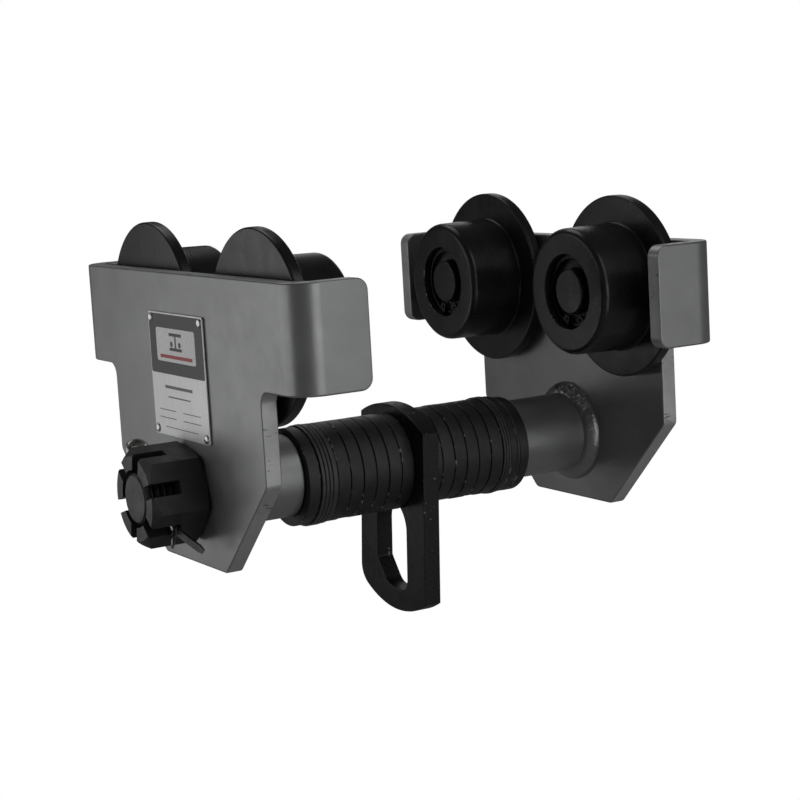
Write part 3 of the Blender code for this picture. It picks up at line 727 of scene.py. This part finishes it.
def suspension_lug(paint, chipped):
    """Thick plate with a round bore for the bar and a long slot for the hook."""
    bar_hole = arc((0, 0), LUG_BORE, 0, 354, 59)
    # the slot's lower end is cut squarer at the front than at the back
    lowest = -(SLOT_LOWER + SLOT_RADIUS)
    slot = arc((0, -SLOT_UPPER), SLOT_RADIUS, 0, 180, 32)
    slot += rounded([(-SLOT_RADIUS, -SLOT_UPPER - 1 * MM, 0), (-SLOT_RADIUS, lowest, 6.8 * MM),
                     (4.5 * MM, lowest, 9.0 * MM), (SLOT_RADIUS, -SLOT_LOWER - 2.5 * MM, 2.0 * MM),
                     (SLOT_RADIUS, -SLOT_UPPER - 1 * MM, 0)])
    bm = slab([lug_outline(), bar_hole, slot], LUG_THICK, 0.7 * MM)
    bmesh.ops.translate(bm, verts=bm.verts, vec=(-LUG_THICK / 2, 0, 0))
    paint_faces(bm, 1, lambda face: abs(face.normal.x) < 0.9)
    place = Matrix.Translation((0, 0, BAR_Z)) @ Matrix.Rotation(LUG_SWING, 4, "X")
    piece("suspension_lug_bar", bm, "lug", (paint, chipped), ("suspension_lug",), place)


def washers(oxide, shim, rim):
    """Thick spacers and thin shims, each hanging on the bar by its own sag."""
    for node in sorted(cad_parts):
        if not node.startswith(("spacer_", "shim_")):
            continue
        low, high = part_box(node)
        centre = (low + high) / 2
        radius = (high.z - low.z) / 2
        sag = BAR_Z - centre.z
        bore = max(15.9 * MM, BAR_RADIUS + sag + 0.25 * MM)
        half = (high.x - low.x) / 2
        edge = min(0.55 * MM, half * 0.6)
        profile = rounded([(-half, bore, edge / 2), (-half, radius, edge), (half, radius, edge),
                           (half, bore, edge / 2)], 3)
        bm = turned(profile, 96)
        # on the spacers the rounded rims take the rim finish: worn steel with painted highlights
        paint_faces(bm, 1, lambda face: 0.15 < abs(face.normal.x) < 0.97)
        if node.startswith("spacer_"):
            finishes, slot = (oxide, rim), "black_oxide"
        else:
            finishes, slot = (shim, shim), "shim_steel"
        lean = Matrix.Rotation(0.002 * math.sin(centre.x * 900), 4, "Z")
        place = Matrix.Translation((centre.x, 0, centre.z)) @ lean
        piece(node + "_ring", bm, "trolley_frame", finishes, (node,), place)


# ---------------------------------------------------------------- wheels

def axis_distance(face):
    """How far a face's middle is from the X axis."""
    middle = face.calc_center_median()
    return math.hypot(middle.y, middle.z)


def wheel_parts(word, side, end, frame_body, paints):
    """Flanged wheel with its bearing, snap ring and axle; drawn for the right side."""
    label = word + "_" + end
    wheel_body = "wheel_body_" + label
    low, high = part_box("wheel_right_" + end)
    axis_y = (low.y + high.y) / 2
    axis_z = (low.z + high.z) / 2
    face = low.x
    back = high.x
    rim = (high.z - low.z) / 2
    front = back - FLANGE_THICK
    seat = face + RECESS_DEPTH
    hub = Matrix.Translation((0, axis_y, axis_z))
    wall = RECESS_RADIUS + 0.2 * MM
    floor = seat + BEARING_WIDTH + 0.3 * MM
    profile = rounded([(face, wall, 0.4 * MM), (face, TREAD_END_RADIUS, 3.4 * MM),
                       (front, TREAD_FLANGE_RADIUS, 1.0 * MM),
                       (front, rim, 1.1 * MM), (back, rim, 1.3 * MM), (back, WEB_BORE, 0.5 * MM),
                       (floor, WEB_BORE, 0), (floor, wall, 0),
                       (seat - 0.2 * MM, wall, 0), (seat - 0.2 * MM, wall + 0.8 * MM, 0),
                       (seat - 2.0 * MM, wall + 0.8 * MM, 0), (seat - 2.0 * MM, wall, 0)], 5)
    bm = turned(profile, 144)
    lip = wall + 0.6 * MM
    paint_faces(bm, 1, lambda f: axis_distance(f) < lip and f.calc_center_median().x < face + 0.6 * MM)
    piece("wheel_" + label + "_casting", outward(bm, side), wheel_body,
          (paints["black"], paints["chipped"]), ("wheel_" + label,), hub)

    shield = seat + SHIELD_SINK
    outer = rounded([(seat, RECESS_RADIUS, 0.7 * MM), (seat, 17.6 * MM, 0.4 * MM),
                     (shield, 17.3 * MM, 0.2 * MM), (shield - 0.3 * MM, 15.0 * MM, 1.0 * MM),
                     (shield, OUTER_RING_BORE, 0.2 * MM), (seat + BEARING_WIDTH, OUTER_RING_BORE, 0),
                     (seat + BEARING_WIDTH, RECESS_RADIUS, 0)], 3)
    bm = turned(outer, 72)
    paint_faces(bm, 1, lambda f: axis_distance(f) < 17.2 * MM)
    piece("bearing_outer_" + label + "_ring", outward(bm, side), wheel_body,
          (paints["steel"], paints["oxide"]), ("bearing_outer_" + label,), hub)
    inner = rounded([(seat, INNER_RING_BORE, 0.3 * MM), (seat, INNER_RING_RADIUS, 0.5 * MM),
                     (seat + BEARING_WIDTH, INNER_RING_RADIUS, 0),
                     (seat + BEARING_WIDTH, INNER_RING_BORE, 0)], 3)
    piece("bearing_inner_" + label + "_ring", outward(turned(inner, 60), side), frame_body,
          (paints["steel"],), ("bearing_inner_" + label,), hub)

    bm = slab(snap_ring_loops(), CLIP_THICK, 0.25 * MM, 1)
    bmesh.ops.translate(bm, verts=bm.verts, vec=(seat - 1.9 * MM, 0, 0))
    piece("snap_ring_" + label + "_clip", outward(bm, side), wheel_body, (paints["clip"],),
          ("snap_ring_" + label,), hub)

    head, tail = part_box("axle_right_" + end)
    axle = rounded([(head.x, 0, 0), (head.x, AXLE_HEAD_RADIUS, 0.9 * MM),
                    (seat - 0.9 * MM, AXLE_HEAD_RADIUS, 0.2 * MM),
                    (seat - 0.9 * MM, AXLE_COLLAR_RADIUS, 0), (seat - 0.3 * MM, AXLE_COLLAR_RADIUS, 0),
                    (seat - 0.3 * MM, AXLE_SHANK_RADIUS, 0), (floor, AXLE_SHANK_RADIUS, 0),
                    (floor, AXLE_SEAT_RADIUS, 0.3 * MM), (tail.x, AXLE_SEAT_RADIUS, 0.5 * MM),
                    (tail.x, 0, 0)], 4)
    piece("axle_" + label + "_pin", outward(turned(axle, 72, closed=False), side), frame_body,
          (paints["black"],), ("axle_" + label,), hub)


def snap_ring_loops():
    """Open ring with an eared end each side of the gap at the bottom."""
    outer = RECESS_RADIUS - 0.05 * MM
    start, end = -90 + CLIP_GAP, 270 - CLIP_GAP
    ring = arc((0, 0), outer, start, end, 72)
    ring += arc((0, 0), outer - CLIP_EAR_DEPTH, end, end - CLIP_EAR, 5)
    ring += arc((0, 0), outer - CLIP_BAND, end - CLIP_EAR - 4, start + CLIP_EAR + 4, 60)
    ring += arc((0, 0), outer - CLIP_EAR_DEPTH, start + CLIP_EAR, start, 5)
    holes = []
    for angle in (start + CLIP_EAR / 2, end - CLIP_EAR / 2):
        reach = outer - 3.5 * MM
        spot = (reach * math.cos(math.radians(angle)), reach * math.sin(math.radians(angle)))
        holes.append(arc(spot, CLIP_HOLE_RADIUS, 0, 340, 17))
    return [ring] + holes


# ---------------------------------------------------------------- nameplate

def nameplate(body, metal, inks, rivet_steel):
    """Metal sheet with printed fields, held by four domed rivets."""
    low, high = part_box("nameplate")
    centre_y, centre_z = (low.y + high.y) / 2, (low.z + high.z) / 2
    half_y, half_z = (high.y - low.y) / 2, (high.z - low.z) / 2

    def panel(name, y0, y1, z0, z1, corner, front, thick, finish, edge=0.02 * MM, stands_for=()):
        """Flat panel; y and z run from the plate's centre, front is its distance ahead of the metal."""
        outline = rounded([(y1, z1, corner), (y1, z0, corner), (y0, z0, corner), (y0, z1, corner)], 6)
        bm = slab([outline], thick, edge, 1)
        place = Matrix.Translation((low.x - front, centre_y, centre_z))
        piece(name, bm, body, (finish,), stands_for, place)

    panel("nameplate_sheet", -half_y, half_y, -half_z, half_z, 1.8 * MM, 0.0, high.x - low.x, metal,
          0.25 * MM, ("nameplate",))
    ink = 0.05 * MM
    split = 0.4 * MM
    margin = 0.8 * MM
    panel("nameplate_dark_field", -half_y + margin, half_y - margin, split, half_z - margin, 1.2 * MM,
          ink, 2 * ink, inks["dark"])
    panel("nameplate_light_panel", -23.0 * MM, 24.0 * MM, 7.0 * MM, 24.5 * MM, 1.6 * MM,
          2 * ink, 2 * ink, inks["light"])
    # a plain drawing of a beam section over two rollers fills the light panel
    red, dark = inks["red"], inks["dark"]
    panel("nameplate_underline", -19.0 * MM, 20.0 * MM, 8.8 * MM, 10.6 * MM, 0.2 * MM, 3 * ink, 2 * ink,
          red)
    for name, y0, y1, z0, z1 in (("beam_top", -7.0, 8.0, 20.6, 22.2), ("beam_web", -0.3, 1.3, 14.6, 20.8),
                                 ("beam_foot", -7.0, 8.0, 13.0, 14.6)):
        panel("nameplate_" + name, y0 * MM, y1 * MM, z0 * MM, z1 * MM, 0.15 * MM, 3 * ink, 2 * ink, dark)
    for k, y in enumerate((-4.4, 5.4)):
        panel("nameplate_roller_%d" % (k + 1), (y - 1.5) * MM, (y + 1.5) * MM, 14.9 * MM, 17.9 * MM,
              1.49 * MM, 3 * ink, 2 * ink, dark)
    # blank entry lines on the lower half
    rules = [(-16.0, 17.0, -7.2, 1.6), (-13.0, 14.0, -12.0, 0.7), (6.0, 26.0, -19.0, 0.45),
             (-24.0, -3.0, -19.0, 0.45), (6.0, 26.0, -23.2, 0.45), (-24.0, -3.0, -23.2, 0.45),
             (-20.0, 20.0, -28.0, 0.4)]
    for k, (y0, y1, z, height) in enumerate(rules):
        panel("nameplate_rule_%d" % (k + 1), y0 * MM, y1 * MM, z * MM, (z + height) * MM, 0.1 * MM,
              ink, 2 * ink, inks["rule"])
    for node in ("rivet_1", "rivet_2", "rivet_3", "rivet_4"):
        start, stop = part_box(node)
        radius = (stop.z - start.z) / 2
        seat = low.x - 0.02 * MM
        rise = seat - start.x
        dome = [(seat - rise * math.cos(math.radians(a)), radius * math.sin(math.radians(a)))
                for a in range(0, 91, 9)]
        dome += [(seat, 1.1 * MM), (stop.x, 1.1 * MM), (stop.x, 0)]
        place = Matrix.Translation((0, (start.y + stop.y) / 2, (start.z + stop.z) / 2))
        piece(node + "_dome", turned(dome, 40, closed=False), body, (rivet_steel,), (node,),
              place, 60)


# ---------------------------------------------------------------- stage

FLOOR_Z = -420.0 * MM
ROOM_GLOW = 0.045
FLOOR_GLOW = 0.12


def soft_panel(name, bearing, height, distance, across, tall, radiance):
    """Flat soft light aimed at the trolley; bearing from +X towards +Y and height are in degrees."""
    data = bpy.data.lights.new(name, "AREA")
    data.shape = "RECTANGLE"
    data.size = across
    data.size_y = tall
    data.energy = radiance * math.pi * across * tall
    light = bpy.data.objects.new(name, data)
    turn, rise = math.radians(bearing), math.radians(height)
    away = Vector((math.cos(turn) * math.cos(rise), math.sin(turn) * math.cos(rise), math.sin(rise)))
    light.location = away * distance
    light.rotation_mode = "QUATERNION"
    light.rotation_quaternion = (-away).to_track_quat("-Z", "Y")
    bpy.context.scene.collection.objects.link(light)


def white_to_the_eye(nodes, links, output, shade):
    """Glows white where it is looked at, and gives the room only a little light."""
    seen = nodes.new("ShaderNodeEmission")
    seen.inputs["Color"].default_value = (1.0, 1.0, 1.0, 1.0)
    around = nodes.new("ShaderNodeEmission")
    around.inputs["Color"].default_value = (1.0, 1.0, 1.0, 1.0)
    around.inputs["Strength"].default_value = shade
    ray = nodes.new("ShaderNodeLightPath")
    mix = nodes.new("ShaderNodeMixShader")
    links.new(ray.outputs["Is Camera Ray"], mix.inputs[0])
    links.new(around.outputs[0], mix.inputs[1])
    links.new(seen.outputs[0], mix.inputs[2])
    links.new(mix.outputs[0], output)


def stage():
    """White room, pale floor and nine soft lights."""
    scene = bpy.context.scene
    scene.view_settings.view_transform = "Standard"
    world = bpy.data.worlds.new("studio")
    scene.world = world
    world.use_nodes = True
    tree = world.node_tree
    white_to_the_eye(tree.nodes, tree.links, tree.nodes["World Output"].inputs["Surface"], ROOM_GLOW)

    bm = bmesh.new()
    bmesh.ops.create_grid(bm, x_segments=1, y_segments=1, size=6.0)
    mesh = bpy.data.meshes.new("floor")
    bm.to_mesh(mesh)
    bm.free()
    floor = bpy.data.objects.new("floor", mesh)
    floor.location = (0, 0, FLOOR_Z)
    paper = bpy.data.materials.new("floor_paper")
    paper.use_nodes = True
    tree = paper.node_tree
    white_to_the_eye(tree.nodes, tree.links, tree.nodes["Material Output"].inputs["Surface"], FLOOR_GLOW)
    mesh.materials.append(paper)
    bpy.context.scene.collection.objects.link(floor)

    soft_panel("left_panel", 156, 1, 0.52, 0.66, 0.44, 0.9)
    soft_panel("under_front", 300, -70, 0.6, 0.5, 0.4, 4.4)
    soft_panel("under_right", 25, -50, 0.8, 0.6, 0.6, 1.0)
    soft_panel("back_right", 50, 15, 1.1, 0.6, 0.6, 0.6)
    soft_panel("front_low", 272, -32, 1.0, 0.6, 0.5, 2.3)
    soft_panel("front_level", 272, 5, 1.0, 0.5, 0.5, 1.7)
    soft_panel("front_high", 285, 40, 1.0, 0.6, 0.6, 1.15)
    soft_panel("front_right", 305, 0, 1.0, 0.5, 0.6, 0.55)
    soft_panel("back_high", 90, 55, 1.2, 0.8, 0.6, 1.3)


def camera():
    """Stands on the left of the front end, a little above the band, slightly rolled."""
    position = Vector((-548.0, -938.2, 135.3)) * MM
    yaw, pitch, roll = math.radians(30.45), math.radians(-8.2), math.radians(-3.3)
    ahead = Vector((math.sin(yaw) * math.cos(pitch), math.cos(yaw) * math.cos(pitch), math.sin(pitch)))
    across = ahead.cross(Vector((0, 0, 1))).normalized()
    up = across.cross(ahead)
    right = across * math.cos(roll) + up * math.sin(roll)
    top = up * math.cos(roll) - across * math.sin(roll)
    data = bpy.data.cameras.new("camera")
    data.sensor_width = 36.0
    data.lens = 90.468
    item = bpy.data.objects.new("camera", data)
    turn = Matrix((right, top, -ahead)).transposed().to_4x4()
    item.matrix_world = Matrix.Translation(position) @ turn
    data.clip_start, data.clip_end = 0.01, 50.0
    bpy.context.scene.collection.objects.link(item)
    bpy.context.scene.camera = item


# ---------------------------------------------------------------- assembly

def build():
    """Makes the finishes, then every piece, then the stage and the camera."""
    grey, cut_edge, weld = grey_paint(), cut_edge_paint(), weld_paint()
    black, chipped = black_paint(), chipped_black("lug_edge_black", 0.355)
    lip = chipped_black("wheel_lip_black", 0.30)
    oxide, rim = black_oxide(), worn_rim_and_painted_glint()
    shim = black_oxide("shim_finish", 1.9)
    wire = dark_steel("pin_wire", (0.42, 0.42, 0.41), 0.25)
    worn = dark_steel("thread_steel", (0.03, 0.03, 0.0295), 0.4)
    # the snap ring and the bearing faces are coloured near black, much darker than bare steel
    clip = dark_steel("clip_steel", (0.045, 0.045, 0.044), 0.42)
    bearing = dark_steel("bearing_steel_face", (0.055, 0.055, 0.054), 0.38)
    bright = dark_steel("rivet_bright", (0.72, 0.72, 0.70), 0.26)
    metal = brushed_aluminium()
    inks = {"dark": printed("ink_charcoal", (0.055, 0.057, 0.056)),
            "light": printed("ink_pale", (0.84, 0.85, 0.84)),
            "red": printed("ink_red", (0.42, 0.055, 0.06)),
            "rule": printed("ink_rule", (0.16, 0.165, 0.16))}
    wheel_paints = {"black": black, "chipped": lip, "steel": bearing, "oxide": oxide, "clip": clip}

    for word, side in SIDES.items():
        body = "trolley_frame" if side == LEFT else "right_side"
        side_plate(word, side, body, grey, cut_edge)
        boss_tube(word, side, body, grey)
        weld_bead(word, side, body, weld)
        slotted_nut(word, side, "trolley_frame", oxide, rim)
        split_pin(word, side, "trolley_frame", wire)
        for end in ("front", "back"):
            wheel_parts(word, side, end, body, wheel_paints)
    load_bar("trolley_frame", oxide, worn)
    suspension_lug(lug_paint(), chipped)
    washers(oxide, shim, rim)
    nameplate("trolley_frame", metal, inks, bright)
    stage()
    camera()


build()
